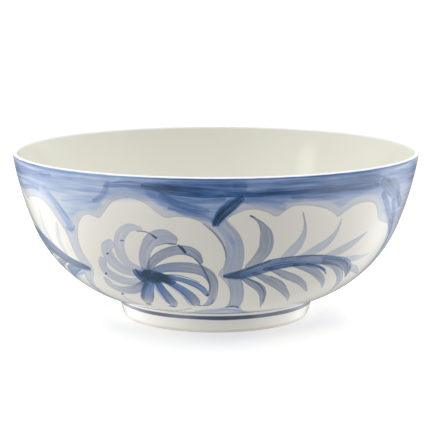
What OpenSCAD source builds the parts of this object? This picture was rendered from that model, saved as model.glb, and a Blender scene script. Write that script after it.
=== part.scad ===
// Footed porcelain serving bowl.
// A turned wall of two arcs stands on a spreading foot ring. Clear glaze coats the
// wall outside, the lining and lip, the side of the foot and the recess under the
// base. The edge that the foot stands on is left bare.
// The frame has its origin on the floor at the bowl's axis, with +Z up. Every
// section is drawn as [radius, height] and turned about the axis.

/* [Overall] */
// Widest diameter, over the lip
rim_d = 260; // [216:1:312]
// Height from the floor to the top of the lip
bowl_h = 107.5; // [89.5:0.5:129]

/* [Outside curve] */
// Radius of the belly, the lower arc of the outside
belly_r = 82.5; // [68.5:0.5:99]
// Radius of the shoulder, the upper arc of the outside
shoulder_r = 212; // [177:1:254]
// Lean of the wall at the lip, out from upright
lip_lean = 9.3; // [4:0.1:12]
// Height of the flat underside above the floor
base_lift = 9.6; // [8:0.1:12]

/* [Wall] */
// Thickness of the glazed wall at the lip
lip_t = 3; // [2.4:0.1:4]
// Thickness of the glazed floor of the bowl
floor_t = 5; // [4:0.1:7]
// Thickness of the glazed wall round the belly, between its inside and outside arcs
belly_t = 4; // [3:0.1:6]

/* [Foot] */
// Diameter across the foot's outer side, at the floor
foot_d = 120; // [100:1:144]
// Width of the foot ring at the floor
foot_w = 6; // [5:0.1:9]
// Lean of the foot's outer side, out from upright
foot_lean = 15; // [6:0.5:20]
// Lean of the foot's inner side, towards the axis as it rises
recess_lean = 8; // [0:0.5:15]
// Rounding of the two edges that the foot stands on
foot_round = 1.5; // [1:0.1:2]

/* [Glaze] */
// Thickness of the fired glaze
glaze_t = 0.4; // [0.3:0.05:0.6]
// Height above the floor at which the glaze is wiped off the foot
bare_h = 2.2; // [2.1:0.1:4]
// Depth of the glaze pooled in the corner between wall and foot
pool = 1; // [0.6:0.1:2]

/* [Quality] */
// Longest straight step along a curve
chord = 4; // [2:0.5:6]
// Fewest steps along any curve
least_steps = 8; // [6:1:16]

/* [Hidden] */
$fn = 180;

// Colours of the bare porcelain and of the glazed faces
bare_colour = "#e6dfd0";
inside_colour = "#e3e2d6";
painted_colour = "#93a9cf";
foot_colour = "#f1f0ea";

// Unit vector at an angle from straight down, turning outwards
function heading(angle) = [sin(angle), -cos(angle)];

// Points along an arc, without its first point, where the stretch before it ends
function arc(centre, r, from, to) =
    let (steps = max(least_steps, ceil(abs(to - from) * PI / 180 * r / chord)))
    [for (i = [1:steps]) centre + r * heading(from + (to - from) * i / steps)];

function reversed(points) = [for (i = [len(points) - 1:-1:0]) points[i]];
function all_but_last(points) = [for (i = [0:len(points) - 2]) points[i]];

// The lip is half a circle, and the shoulder arcs of both faces run into it
lip_angle = 90 - lip_lean;
lip_centre = [rim_d / 2 - lip_t / 2, bowl_h - lip_t / 2];
shoulder_centre = lip_centre - (shoulder_r - lip_t / 2) * heading(lip_angle);

// Centre of a lower arc that rests on a height and runs smoothly into an upper
// arc about the shoulder's centre, and the angle at which the two arcs meet
function low_centre(low_r, rest_z, high_r) =
    let (drop = shoulder_centre.y - rest_z - low_r)
    [shoulder_centre.x + sqrt(pow(high_r - low_r, 2) - pow(drop, 2)), rest_z + low_r];
function meeting_angle(low_r, rest_z, high_r) =
    acos((shoulder_centre.y - rest_z - low_r) / (high_r - low_r));

// Outside face and inside face, from the axis out and up to the lip
belly_centre = low_centre(belly_r, base_lift, shoulder_r);
belly_end = meeting_angle(belly_r, base_lift, shoulder_r);
well_z = base_lift + floor_t;
well_r = belly_r - belly_t;
inside_shoulder_r = shoulder_r - lip_t;
well_centre = low_centre(well_r, well_z, inside_shoulder_r);
well_end = meeting_angle(well_r, well_z, inside_shoulder_r);

// Outside face, drawn in by an inset
function outside(inset) = concat(
    [[0, base_lift + inset], [belly_centre.x, base_lift + inset]],
    arc(belly_centre, belly_r - inset, 0, belly_end),
    arc(shoulder_centre, shoulder_r - inset, belly_end, lip_angle));

// Inside face, drawn into the wall by an inset, then over the lip
function inside(inset) = concat(
    [[0, well_z - inset], [well_centre.x, well_z - inset]],
    arc(well_centre, well_r + inset, 0, well_end),
    arc(shoulder_centre, inside_shoulder_r + inset, well_end, lip_angle),
    arc(lip_centre, lip_t / 2 - inset, lip_angle + 180, lip_angle));

// Height at which the foot's outer side meets the outside of the wall. It meets
// the belly's arc, or the flat underside where the foot is narrow.
foot_slope = tan(foot_lean);
recess_slope = tan(recess_lean);
joint_z =
    let (offset = foot_d / 2 - belly_centre.x,
         square_term = 1 + pow(foot_slope, 2),
         half_term = offset * foot_slope - belly_centre.y,
         constant = pow(offset, 2) + pow(belly_centre.y, 2) - pow(belly_r, 2))
    offset + base_lift * foot_slope < 0 ? base_lift
    : (-half_term - sqrt(pow(half_term, 2) - square_term * constant)) / square_term;

// The foot's sides are drawn up to a height that is well inside the wall
foot_top = joint_z + floor_t;
recess_r = foot_d / 2 - foot_w;

// Foot from the floor up, with both sides drawn in by an inset
function foot(inset) =
    let (outer_fillet = foot_round * (1 - sin(foot_lean)) / cos(foot_lean),
         inner_fillet = foot_round * (1 - sin(recess_lean)) / cos(recess_lean),
         outer_centre = [foot_d / 2 - inset - outer_fillet, foot_round],
         inner_centre = [recess_r + inset + inner_fillet, foot_round])
    concat([[outer_centre.x, 0]],
           arc(outer_centre, foot_round, 0, 90 - foot_lean),
           [[foot_d / 2 - inset + foot_top * foot_slope, foot_top],
            [recess_r + inset - foot_top * recess_slope, foot_top]],
           [inner_centre + foot_round * heading(recess_lean - 90)],
           arc(inner_centre, foot_round, recess_lean - 90, 0));

// All that lies within the outside face, drawn in by an inset
module within_outside(inset) {
    polygon(concat(outside(inset), [[0, lip_centre.y]]));
}

// All that lies nearer the axis than a straight side of the foot
module within_side(floor_r, slope) {
    polygon([[0, 0], [floor_r, 0], [floor_r + foot_top * slope, foot_top], [0, foot_top]]);
}

// All that lies nearer the axis than the middle of the foot's standing edge
module within_mid_foot() {
    square([foot_d / 2 - foot_w / 2, foot_top]);
}

// Glaze all over the outside face, from the axis to the lip
module outside_coat() {
    polygon(concat(outside(0), reversed(outside(glaze_t))));
}

// Glaze on both sides of the foot, down to the line where it is wiped off
module foot_coat() {
    difference() {
        polygon(foot(0));
        polygon(foot(glaze_t));
        within_outside(glaze_t);
        square([foot_d, bare_h]);
    }
}

// Glaze pooled in the corner between the wall and the foot's outer side. It
// starts half way into the foot's coat, so that the two are one piece.
module pooled_corner() {
    mid_coat = foot_d / 2 - glaze_t / 2;
    low = [mid_coat + (joint_z - pool) * foot_slope, joint_z - pool];
    reach = 3 * pool;
    difference() {
        polygon([low, low + [reach, reach], low + [0, reach]]);
        within_outside(0);
        within_side(mid_coat, foot_slope);
    }
}

// Porcelain wall, floor and lip
module bowl_body() {
    color(bare_colour) rotate_extrude()
        polygon(concat(inside(glaze_t), reversed(all_but_last(outside(glaze_t)))));
}

// Porcelain ring that the bowl stands on, joined under the wall
module foot_ring() {
    color(bare_colour) rotate_extrude() difference() {
        polygon(foot(glaze_t));
        within_outside(glaze_t);
    }
}

// Glaze that lines the hollow and folds over the lip
module inside_glaze() {
    color(inside_colour) rotate_extrude()
        polygon(concat(inside(0), reversed(inside(glaze_t))));
}

// Painted glaze on the wall, from the foot up to the lip
module outside_glaze() {
    color(painted_colour) rotate_extrude() difference() {
        outside_coat();
        within_side(foot_d / 2, foot_slope);
    }
}

// Glaze on the foot's outer side, with the pool at its top
module foot_glaze() {
    color(foot_colour) rotate_extrude() {
        difference() {
            foot_coat();
            within_mid_foot();
        }
        pooled_corner();
    }
}

// Glaze in the recess: the flat underside and the foot's inner side
module base_glaze() {
    color(foot_colour) rotate_extrude() {
        intersection() {
            foot_coat();
            within_mid_foot();
        }
        intersection() {
            outside_coat();
            within_side(recess_r, -recess_slope);
        }
    }
}

bowl_body();
foot_ring();
inside_glaze();
outside_glaze();
foot_glaze();
base_glaze();
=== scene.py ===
# %% [markdown]
# # A painted porcelain serving bowl
# A deep round bowl of white porcelain stands on a turned foot. Its outside is painted in
# washes of cobalt blue: a streaky band under the lip, and below it six scalloped white
# panels, which hold two whirling flowers and four feathery leaves. The inside is plain.
#
# The CAD model comes in first, as a fixed frame. Each coat of glaze is then turned again
# here with many more facets than the CAD has, painted, and put in the CAD coat's place.

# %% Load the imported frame
import math

import bmesh
import bpy
import numpy as np
from mathutils import Matrix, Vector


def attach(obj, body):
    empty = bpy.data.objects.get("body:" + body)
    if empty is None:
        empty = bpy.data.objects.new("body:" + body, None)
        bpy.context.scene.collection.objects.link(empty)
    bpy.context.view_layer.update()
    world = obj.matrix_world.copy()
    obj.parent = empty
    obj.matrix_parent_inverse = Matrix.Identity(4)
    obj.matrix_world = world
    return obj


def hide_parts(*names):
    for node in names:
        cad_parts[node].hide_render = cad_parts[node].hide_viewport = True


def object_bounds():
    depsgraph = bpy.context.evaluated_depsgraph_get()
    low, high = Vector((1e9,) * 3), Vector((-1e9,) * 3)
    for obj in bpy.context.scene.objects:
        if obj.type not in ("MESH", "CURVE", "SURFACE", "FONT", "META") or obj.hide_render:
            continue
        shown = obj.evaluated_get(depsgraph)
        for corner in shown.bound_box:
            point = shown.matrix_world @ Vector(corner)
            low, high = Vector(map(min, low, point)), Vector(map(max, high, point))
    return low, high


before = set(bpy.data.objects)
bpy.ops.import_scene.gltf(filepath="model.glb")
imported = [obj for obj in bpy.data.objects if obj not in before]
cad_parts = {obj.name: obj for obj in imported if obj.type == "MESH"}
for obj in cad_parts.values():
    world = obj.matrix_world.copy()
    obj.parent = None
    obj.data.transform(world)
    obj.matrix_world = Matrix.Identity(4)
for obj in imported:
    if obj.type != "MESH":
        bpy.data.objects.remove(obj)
cad_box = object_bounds()
MM = 0.001
print("CAD nodes:", sorted(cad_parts))
print("CAD box in mm:", [[round(value / MM, 1) for value in corner] for corner in cad_box])

# %% [markdown]
# ## Camera
# The bowl is seen from the front, a little above the lip's height, through a long lens, so
# that the rim is a flat ellipse and some of the lining shows. A long lens far away keeps
# the near and far sides of the rim close to the same width.

# %% Camera
camera_data = bpy.data.cameras.new("camera")
camera_data.sensor_width = 36.0
camera_data.lens = 129.0
camera_data.shift_x = -0.0018
camera_data.shift_y = 0.013
camera = bpy.data.objects.new("camera", camera_data)
camera.location = (0.0, -0.986, 0.2333)
camera.rotation_euler = (math.radians(90.0 - 9.96), 0.0, 0.0)
bpy.context.scene.collection.objects.link(camera)
bpy.context.scene.camera = camera
print("camera is", round(abs(camera.location.y), 3), "m from the bowl's axis")

# %% [markdown]
# ## The bowl's outline
# A bowl like this is shaped on a wheel against a metal profile, so one outline says it all.
# The wall is two arcs that run smoothly into each other: a round belly and a long, nearly
# straight shoulder that leans out a little at the lip. The same radii as in the CAD are
# used, and the overall size is read from the frame.

# %% Outline of the wall
lip_r = round(cad_box[1][0] / MM)
bowl_h = round(cad_box[1][2] / MM, 1)
LIP_T = 3.0
BELLY_R = 82.5
SHOULDER_R = 212.0
LIP_LEAN = math.radians(9.3)
BASE_Z = 9.6
FLOOR_T = 5.0
BELLY_T = 4.0
GLAZE_T = 0.4
FOOT_R = 60.0
FOOT_W = 6.0
FOOT_LEAN = math.radians(15.0)
RECESS_LEAN = math.radians(8.0)
BARE_Z = 2.2


def heading(angle):
    """Unit vector [out, up] at an angle from straight down, turning outwards."""
    return np.array([np.sin(angle), -np.cos(angle)])


lip_angle = math.pi / 2 - LIP_LEAN
lip_centre = np.array([lip_r - LIP_T / 2, bowl_h - LIP_T / 2])
shoulder_centre = lip_centre - (SHOULDER_R - LIP_T / 2) * heading(lip_angle)


def lower_arc(low_r, rest_z, high_r):
    """Centre of an arc that rests on a height and runs into an arc about the shoulder's
    centre, with the angle at which they meet."""
    drop = shoulder_centre[1] - rest_z - low_r
    across = math.sqrt((high_r - low_r) ** 2 - drop ** 2)
    centre = np.array([shoulder_centre[0] + across, rest_z + low_r])
    return centre, math.acos(drop / (high_r - low_r))


belly_centre, belly_end = lower_arc(BELLY_R, BASE_Z, SHOULDER_R)
well_z = BASE_Z + FLOOR_T
well_r = BELLY_R - BELLY_T
well_centre, well_end = lower_arc(well_r, well_z, SHOULDER_R - LIP_T)
print("belly and shoulder meet", round(math.degrees(belly_end), 1), "degrees from straight down")


# %% Where the foot meets the wall
def joint_height():
    """Height at which the foot's leaning outer side meets the belly."""
    slope = math.tan(FOOT_LEAN)
    offset = FOOT_R - belly_centre[0]
    square_term = 1 + slope ** 2
    half_term = offset * slope - belly_centre[1]
    constant = offset ** 2 + belly_centre[1] ** 2 - BELLY_R ** 2
    root = math.sqrt(half_term ** 2 - square_term * constant)
    return (-half_term - root) / square_term


joint_z = joint_height()
joint_r = FOOT_R + joint_z * math.tan(FOOT_LEAN)
joint_angle = math.acos((belly_centre[1] - joint_z) / BELLY_R)
belly_length = (belly_end - joint_angle) * BELLY_R
wall_length = belly_length + (lip_angle - belly_end) * SHOULDER_R
print("the foot joins at", round(joint_z, 2), "mm; the wall is", round(wall_length, 1), "mm long")

# %% [markdown]
# ## Turning on the lathe
# Each coat is a closed outline in the plane of one radius, swept round the axis with
# bmesh's spin. A full spin merges its last ring into its first. Points on the axis fall
# together, so doubles are merged before the normals are made to face outwards.


# %% Lathe
def arc(centre, radius, start, end, step):
    """Points along an arc, both ends included, no further apart than a step in mm."""
    count = max(4, math.ceil(abs(end - start) * radius / step))
    return [centre + radius * heading(start + (end - start) * i / count) for i in range(count + 1)]


def lathe(name, outline, turns):
    """A closed outline of [radius, height] in mm, turned into a closed coat in metres."""
    shape = bmesh.new()
    ring = [shape.verts.new((r * MM, 0.0, z * MM)) for r, z in outline]
    edges = [shape.edges.new((ring[i - 1], ring[i])) for i in range(len(ring))]
    bmesh.ops.spin(
        shape, geom=ring + edges, cent=(0, 0, 0), axis=(0, 0, 1), dvec=(0, 0, 0),
        angle=math.tau, steps=turns, use_merge=True, space=Matrix.Identity(4),
    )
    bmesh.ops.remove_doubles(shape, verts=shape.verts, dist=0.001 * MM)
    bmesh.ops.recalc_face_normals(shape, faces=shape.faces)
    for face in shape.faces:
        face.smooth = True
    mesh = bpy.data.meshes.new(name)
    shape.to_mesh(mesh)
    shape.free()
    piece = bpy.data.objects.new(name, mesh)
    bpy.context.scene.collection.objects.link(piece)
    triangles = sum(len(face.vertices) - 2 for face in mesh.polygons)
    print(f"{name}: {len(mesh.vertices)} points, {triangles} triangles")
    return piece


def settle(piece, slot, *nodes):
    """Ties a finished piece to the frame, in place of its CAD nodes."""
    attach(piece, "root")
    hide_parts(*nodes)


# %% [markdown]
# ## The painted wall
# The outside glaze runs from the corner over the foot to just under the lip. Its painted
# face has a point about every millimetre, because the brush marks are stored on its
# points. The hidden face against the porcelain only closes the coat, so it is coarse.

# %% Turn the painted wall
WALL_TURNS = 640
ROW_STEP = 1.0
HIDDEN_STEP = 8.0
wall_outline = (
    arc(belly_centre, BELLY_R, joint_angle, belly_end, ROW_STEP)
    + arc(shoulder_centre, SHOULDER_R, belly_end, lip_angle, ROW_STEP)[1:]
    + arc(shoulder_centre, SHOULDER_R - GLAZE_T, lip_angle, belly_end, HIDDEN_STEP)
    + arc(belly_centre, BELLY_R - GLAZE_T, belly_end, joint_angle, HIDDEN_STEP)[1:]
)
painted_wall = lathe("painted_wall", wall_outline, WALL_TURNS)

# %% [markdown]
# ## Lining, lip and foot
# The lining covers the floor and the wall inside, folds over the lip and ends where the
# painted wall starts, so the lip is one clean white line. The foot's coat is a thin sleeve
# that rolls over at its lower edge, where the potter wipes the glaze off, and pools in a
# soft fillet in the corner under the wall.

# %% Turn the lining
lining_outline = (
    [np.array([0.0, well_z]), np.array([well_centre[0] * 0.5, well_z])]
    + arc(well_centre, well_r, 0, well_end, 2.0)
    + arc(shoulder_centre, SHOULDER_R - LIP_T, well_end, lip_angle, 2.0)[1:]
    + arc(lip_centre, LIP_T / 2, lip_angle + math.pi, lip_angle, 0.25)[1:]
    + arc(lip_centre, LIP_T / 2 - GLAZE_T, lip_angle, lip_angle + math.pi, 0.5)
    + arc(shoulder_centre, SHOULDER_R - LIP_T + GLAZE_T, lip_angle, well_end, HIDDEN_STEP)[1:]
    + arc(well_centre, well_r + GLAZE_T, well_end, 0, HIDDEN_STEP)[1:]
    + [np.array([0.0, well_z - GLAZE_T])]
)
lining = lathe("lining_and_lip", lining_outline, 360)

# %% Turn the foot's coat
foot_slope = math.tan(FOOT_LEAN)
POOL = 1.0
corner_angle = joint_angle + POOL / BELLY_R
corner_on_wall = belly_centre + BELLY_R * heading(corner_angle)
corner_on_foot = np.array([joint_r - POOL * foot_slope, joint_z - POOL])


def foot_side(z, inset):
    """A point on the foot's outer side, drawn in by an inset."""
    return np.array([FOOT_R - inset + z * foot_slope, z])


def hollow_curve(start, corner, end, count):
    """Points on a smooth curve that starts and ends towards a corner."""
    ts = [i / count for i in range(count + 1)]
    return [(1 - t) ** 2 * start + 2 * t * (1 - t) * corner + t ** 2 * end for t in ts]


roll_centre = foot_side(BARE_Z + GLAZE_T / 2, GLAZE_T / 2)
foot_coat_outline = (
    arc(roll_centre, GLAZE_T / 2, -math.pi / 2, math.pi / 2 - FOOT_LEAN, 0.1)
    + [foot_side(BARE_Z + 1.0 + i, 0.0) for i in range(int(joint_z - POOL - BARE_Z - 1.0) + 1)]
    + hollow_curve(corner_on_foot, np.array([joint_r, joint_z]), corner_on_wall, 8)
    + [belly_centre + (BELLY_R - GLAZE_T) * heading(joint_angle)]
    + [foot_side(joint_z - GLAZE_T, GLAZE_T)]
)
foot_coat = lathe("foot_coat", foot_coat_outline, 360)

# %% [markdown]
# ## Recess and standing edge
# Under the bowl the glaze covers the flat base and the foot's inner side. The edge that
# the bowl stands on is bare: porcelain that is glazed there would stick to the kiln shelf.

# %% Turn the recess glaze
recess_slope = math.tan(RECESS_LEAN)
recess_r = FOOT_R - FOOT_W


def recess_side(z, inset):
    """A point on the foot's inner side, drawn into the foot by an inset."""
    return np.array([recess_r + inset - z * recess_slope, z])


def belly_z(r):
    """Height of the outside face at a radius near the foot."""
    if r < belly_centre[0]:
        return BASE_Z
    return belly_centre[1] - math.sqrt(BELLY_R ** 2 - (r - belly_centre[0]) ** 2)


corner_r = recess_side(BASE_Z, 0.0)[0]
recess_top = belly_z(corner_r)
inner_corner_r = recess_side(BASE_Z, GLAZE_T)[0]
recess_outline = (
    [np.array([0.0, BASE_Z])]
    + [np.array([r, belly_z(r)]) for r in (10.0, 20.0, 30.0, 41.0, 44.0, 47.0, corner_r - 1.0)]
    + hollow_curve(
        np.array([corner_r - 1.0, belly_z(corner_r - 1.0)]),
        np.array([corner_r, recess_top]),
        recess_side(recess_top - 1.0, 0.0),
        5,
    )[1:]
    + [recess_side(z, 0.0) for z in (7.0, 5.0, 3.5, 2.8)]
    + [recess_side(BARE_Z + 0.2, 0.05)]
    + [recess_side(BARE_Z, 0.2)]
    + [recess_side(BARE_Z + 0.15, GLAZE_T)]
    + [recess_side(z, GLAZE_T) for z in (4.0, 7.0)]
    + [np.array([inner_corner_r, belly_z(inner_corner_r) + GLAZE_T])]
    + [np.array([r, belly_z(r) + GLAZE_T]) for r in (44.0, 30.0, 10.0)]
    + [np.array([0.0, BASE_Z + GLAZE_T])]
)
recess_coat = lathe("recess_coat", recess_outline, 256)

# %% [markdown]
# The standing ring is a separate piece of clay, stuck under the wall with slip while both
# were leather-hard, then trimmed. Its two lower edges are sponged round, so that the bowl
# doesn't scratch a table.

# %% Turn the standing ring
EDGE_ROUND = 1.5
outer_fillet = EDGE_ROUND * (1 - math.sin(FOOT_LEAN)) / math.cos(FOOT_LEAN)
inner_fillet = EDGE_ROUND * (1 - math.sin(RECESS_LEAN)) / math.cos(RECESS_LEAN)
outer_edge = np.array([FOOT_R - GLAZE_T - outer_fillet, EDGE_ROUND])
inner_edge = np.array([recess_r + GLAZE_T + inner_fillet, EDGE_ROUND])
ring_top = [np.array([r, belly_z(r) + GLAZE_T]) for r in (62.6, 60.0, 57.0, 54.6)]
ring_outline = (
    arc(outer_edge, EDGE_ROUND, 0, math.pi / 2 - FOOT_LEAN, 0.25)
    + [foot_side(z, GLAZE_T) for z in (4.0, 7.0, 10.0)]
    + ring_top
    + [recess_side(z, GLAZE_T) for z in (9.0, 6.0, 3.0)]
    + arc(inner_edge, EDGE_ROUND, RECESS_LEAN - math.pi / 2, 0, 0.25)
)
standing_ring = lathe("standing_ring", ring_outline, 256)

# %% [markdown]
# ## Laying out the painting
# The wall is unrolled in the mind: a place on it is so many degrees round the bowl, with 0
# at the front and plus to the right, and so many millimetres up the wall from the foot.
# Every brush mark is a smooth line through a few such places, with half its width at each.


# %% Places on the wall
def on_wall(degrees, up):
    """3D places in mm, for degrees round the bowl and millimetres up the wall."""
    degrees = np.asarray(degrees, float)
    up = np.asarray(up, float)
    low = joint_angle + up / BELLY_R
    high = belly_end + (up - belly_length) / SHOULDER_R
    on_belly = up < belly_length
    r = np.where(
        on_belly,
        belly_centre[0] + BELLY_R * np.sin(low),
        shoulder_centre[0] + SHOULDER_R * np.sin(high),
    )
    z = np.where(
        on_belly,
        belly_centre[1] - BELLY_R * np.cos(low),
        shoulder_centre[1] - SHOULDER_R * np.cos(high),
    )
    turn = np.radians(degrees)
    return np.stack([r * np.sin(turn), -r * np.cos(turn), z], -1)


def smooth_line(points, step_count=9, closed=False):
    """A smooth line through rows of numbers, by the Catmull-Rom rule."""
    rows = np.asarray(points, float)
    if closed:
        rows = np.concatenate([rows[-1:], rows, rows[:2]])
    else:
        rows = np.concatenate([2 * rows[:1] - rows[1:2], rows, 2 * rows[-1:] - rows[-2:-1]])
    t = (np.arange(step_count) / step_count)[:, None]
    parts = []
    for a, b, c, d in zip(rows, rows[1:], rows[2:], rows[3:]):
        parts.append(
            b + 0.5 * t * (c - a)
            + t ** 2 * (a - 2.5 * b + 2 * c - 0.5 * d)
            + t ** 3 * (1.5 * (b - c) + 0.5 * (d - a))
        )
    if not closed:
        parts.append(rows[-2:-1])
    return np.concatenate(parts)


# %% [markdown]
# ## The brush marks
# A mark is a row of (degrees, up, half width in mm) with a strength: how much cobalt the
# brush leaves, from 0.2 for a pale wash to 3 for a loaded dab. A pair of strengths is for
# a brush that runs dry, or is pressed harder, on its way. Marks are kept in one list and
# laid on the wall later, so that the drawing reads like a drawing.

# %% The list of marks
marks = []
panels = []
hand = np.random.default_rng(7)
CRISP = "crisp"
SOFT = "soft"


class Motif:
    """Draws marks on one stretch of the wall, turned round the bowl. A loose hand moves
    every mark a little, so that no two motifs are the same."""

    def __init__(self, turn=0.0, loose=0.0):
        self.turn = turn
        self.loose = loose

    def places(self, points):
        rows = np.array(points, float)
        rows[:, 0] += self.turn
        if self.loose:
            rows[:, 0] += hand.normal(0, 0.5 * self.loose)
            rows[:, 1] += hand.normal(0, 0.8 * self.loose)
            rows[:, 0] += hand.normal(0, 0.15 * self.loose, len(rows))
            rows[:, 1] += hand.normal(0, 0.3 * self.loose, len(rows))
        return rows

    def mark(self, strength, *points):
        """A crisp mark, laid where the ground is dry."""
        marks.append((self.places(points), strength, CRISP))

    def wash(self, strength, *points):
        """A mark whose edges run, laid next to paint that is still wet."""
        marks.append((self.places(points), strength, SOFT))

    def panel(self, *points):
        """A closed line, inside which the ground stays bare."""
        panels.append(self.places(points))


# %% [markdown]
# ## The whirling flower
# The flower is a dozen broad, curved strokes that start in the middle and sweep round
# clockwise. The brush was dipped at the lower right, so the petals there are dark, and it
# had nearly run dry by the upper left.


# %% Pale petals of the flower
def pale_petals(motif):
    """From the top round to the left and down, where the brush was nearly dry."""
    motif.mark(0.28, (-22.5, 61.5, 2.4), (-26.3, 64.5, 2.8), (-28.2, 70.5, 3.6), (-28.3, 78.5, 3.7),
               (-26.8, 86, 3.4), (-24, 90.8, 2.8), (-20.8, 90.5, 1.6))
    motif.mark(0.28, (-23.5, 58.3, 2.4), (-27.5, 59, 3.6), (-31, 62.4, 4.5), (-33, 69, 4.5),
               (-33, 75.5, 3.9), (-31.2, 78.9, 3.0))
    motif.mark(0.30, (-23.8, 53.5, 2.2), (-28.5, 49.8, 3.4), (-33, 50.8, 4.4), (-36.4, 55.5, 4.4),
               (-37, 61.5, 3.4), (-36, 65.9, 2.7))
    motif.mark((0.6, 0.3), (-23.6, 50, 2.4), (-27.6, 43.8, 3.4), (-32, 40, 4.0), (-36, 39.5, 4.0),
               (-39, 42.5, 3.6), (-39.2, 48.5, 2.4))


# %% Dark petals of the flower
def dark_petals(motif):
    """From the top round to the right and down, with more and more paint."""
    motif.mark(0.45, (-21.3, 61, 2.8), (-21.2, 69, 3.4), (-20, 77, 3.7), (-17.6, 83.8, 4.6),
               (-14.4, 86.4, 4.8), (-12.2, 84.6, 4.0))
    motif.mark(0.66, (-20.2, 63, 2.0), (-18.3, 69, 2.8), (-15.3, 74, 3.2), (-11.5, 77.3, 3.2),
               (-8, 77.4, 3.3), (-5.5, 74.5, 2.9), (-4.4, 70, 1.8))
    motif.mark((1.0, 0.42), (-19.3, 60.5, 2.0), (-15.5, 64, 3.2), (-10.8, 65.3, 3.9), (-6.2, 64.6, 4.0),
               (-2.8, 61.3, 3.7), (-1.2, 56, 3.3), (-0.6, 49.5, 2.7), (-0.8, 42.5, 2.5),
               (-1.5, 35.5, 2.5), (-2.9, 29.5, 2.2), (-4.8, 26.3, 1.0))
    motif.mark((2.0, 1.0), (-17.3, 57.6, 2.0), (-13, 56.4, 1.9), (-9, 53.8, 2.3), (-6, 50.4, 2.5),
               (-4.1, 46, 2.2), (-3.2, 41, 1.2))
    motif.mark((1.9, 0.55), (-16.8, 55.5, 2.4), (-13, 49.5, 2.8), (-10, 43, 3.4), (-8.2, 36, 3.6),
               (-7.8, 30, 3.0), (-8.4, 26.5, 1.5))
    motif.mark((1.8, 0.45), (-18.9, 53, 2.2), (-18.1, 45, 2.8), (-17.3, 37, 3.4), (-16.9, 30, 3.6),
               (-17.2, 23.5, 2.0))
    motif.mark((1.7, 0.45), (-21.4, 52, 2.8), (-23.2, 45, 3.6), (-25, 38, 4.2), (-27, 31, 4.0),
               (-28.6, 25, 2.2))
    # Heavy edges where the loaded brush pressed
    motif.wash((1.7, 0.7), (-22.6, 53, 2.2), (-24.6, 46, 2.0), (-26.8, 39, 1.7), (-28.9, 31, 1.2))
    motif.wash((1.5, 0.8), (-19.4, 52, 2.0), (-19.2, 44, 1.9), (-18.9, 36, 1.7), (-18.7, 28, 1.2))
    motif.wash((1.5, 0.8), (-16.3, 53, 2.0), (-13.4, 47, 1.9), (-11, 40.5, 1.9), (-9.8, 33, 1.6),
               (-9.3, 27, 1.0))
    motif.mark(0.70, (-16.2, 58.6, 0.8), (-12, 59, 0.6), (-8.5, 57, 0.5), (-5, 53, 0.4))


# %% [markdown]
# The eye, where all petals start, was pressed down several times with a full brush. Its
# washes run into each other. Then a fine liner ties the petals' tips together, with a dark
# dab wherever it was set down or lifted.


# %% Eye and liner of the flower
def eye(motif):
    motif.wash(3.2, (-21.4, 57.4, 2.2), (-19.4, 57, 3.0), (-17.2, 55.4, 2.6), (-15, 53.6, 1.6))
    motif.wash(3.4, (-23.2, 58, 3.4), (-21, 57.4, 4.6), (-17.6, 56.4, 4.2), (-14, 53.2, 2.6))
    motif.wash(3.4, (-25, 60, 1.8), (-24.6, 56.6, 2.4), (-23.6, 52.6, 1.8))
    motif.mark(1.4, (-22, 56.2, 1.6), (-19.8, 56.4, 2.2), (-17.6, 55.8, 1.6))
    motif.mark(2.2, (-22.9, 57, 1.7), (-22, 59.2, 2.0), (-20.6, 60.2, 1.5))
    motif.mark(1.2, (-22.4, 54.3, 1.8), (-20.6, 52.6, 2.2), (-18.6, 53, 2.0))
    motif.mark(1.6, (-18.8, 59.2, 1.1), (-17.2, 58.4, 1.8), (-15.4, 57, 1.4))


def liner(motif):
    """Fine lines between the petals' tips, with a dab at each end."""
    motif.mark(0.7, (-22, 88.8, 0.3), (-19.6, 88.9, 0.5), (-17.6, 87.2, 0.45))
    motif.mark(2.2, (-17.5, 86.9, 0.6), (-16.5, 85.3, 0.9))
    motif.mark(0.7, (-17, 79.8, 0.3), (-13.6, 81.8, 0.45), (-10.8, 81.5, 0.5))
    motif.mark(2.6, (-10.4, 81, 0.6), (-9.4, 78.8, 1.0), (-8.6, 76.3, 0.9))
    motif.mark(0.9, (-8.6, 75.4, 0.4), (-6.4, 72.8, 0.4), (-4.6, 68.5, 0.6), (-3.3, 62.5, 0.7),
               (-2.2, 55.5, 0.7), (-1.8, 49, 0.6), (-2.3, 43.5, 0.7))
    motif.mark(2.0, (-2.5, 42.5, 0.7), (-3.0, 39.8, 0.9))
    motif.mark(0.8, (-0.9, 36, 0.3), (-1.6, 30, 0.5), (-3.5, 26.6, 0.6), (-5.6, 26.4, 0.5))
    motif.mark(2.2, (-6, 26.7, 0.9), (-6.7, 27, 0.9))
    motif.mark(2.4, (-18.8, 22.8, 1.2), (-17.6, 22.4, 1.4))
    motif.mark(2.4, (-29.6, 22.3, 1.2), (-28.4, 22.8, 1.4))
    motif.mark(0.8, (-30.5, 20.5, 0.4), (-28.5, 16, 0.5), (-24, 13.5, 0.7), (-19, 13.5, 0.7),
               (-14.5, 16, 0.6), (-10, 21, 0.5))
    motif.mark(1.7, (-38.2, 32.5, 0.7), (-36.6, 34.8, 0.9))
    motif.mark(0.9, (-38.6, 30, 0.5), (-38.2, 24.5, 0.5), (-35, 18.5, 0.6), (-31, 15.5, 0.4))
    motif.mark(1.6, (-38, 53.6, 0.7), (-37.2, 55, 0.8))
    motif.mark(1.3, (-33.8, 70.8, 0.6), (-32.9, 71.6, 0.7))
    motif.mark(1.2, (-27.6, 81.6, 0.5), (-26.6, 81.7, 0.6))


def flower(motif):
    for part in (pale_petals, dark_petals, eye, liner):
        part(motif)


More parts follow.
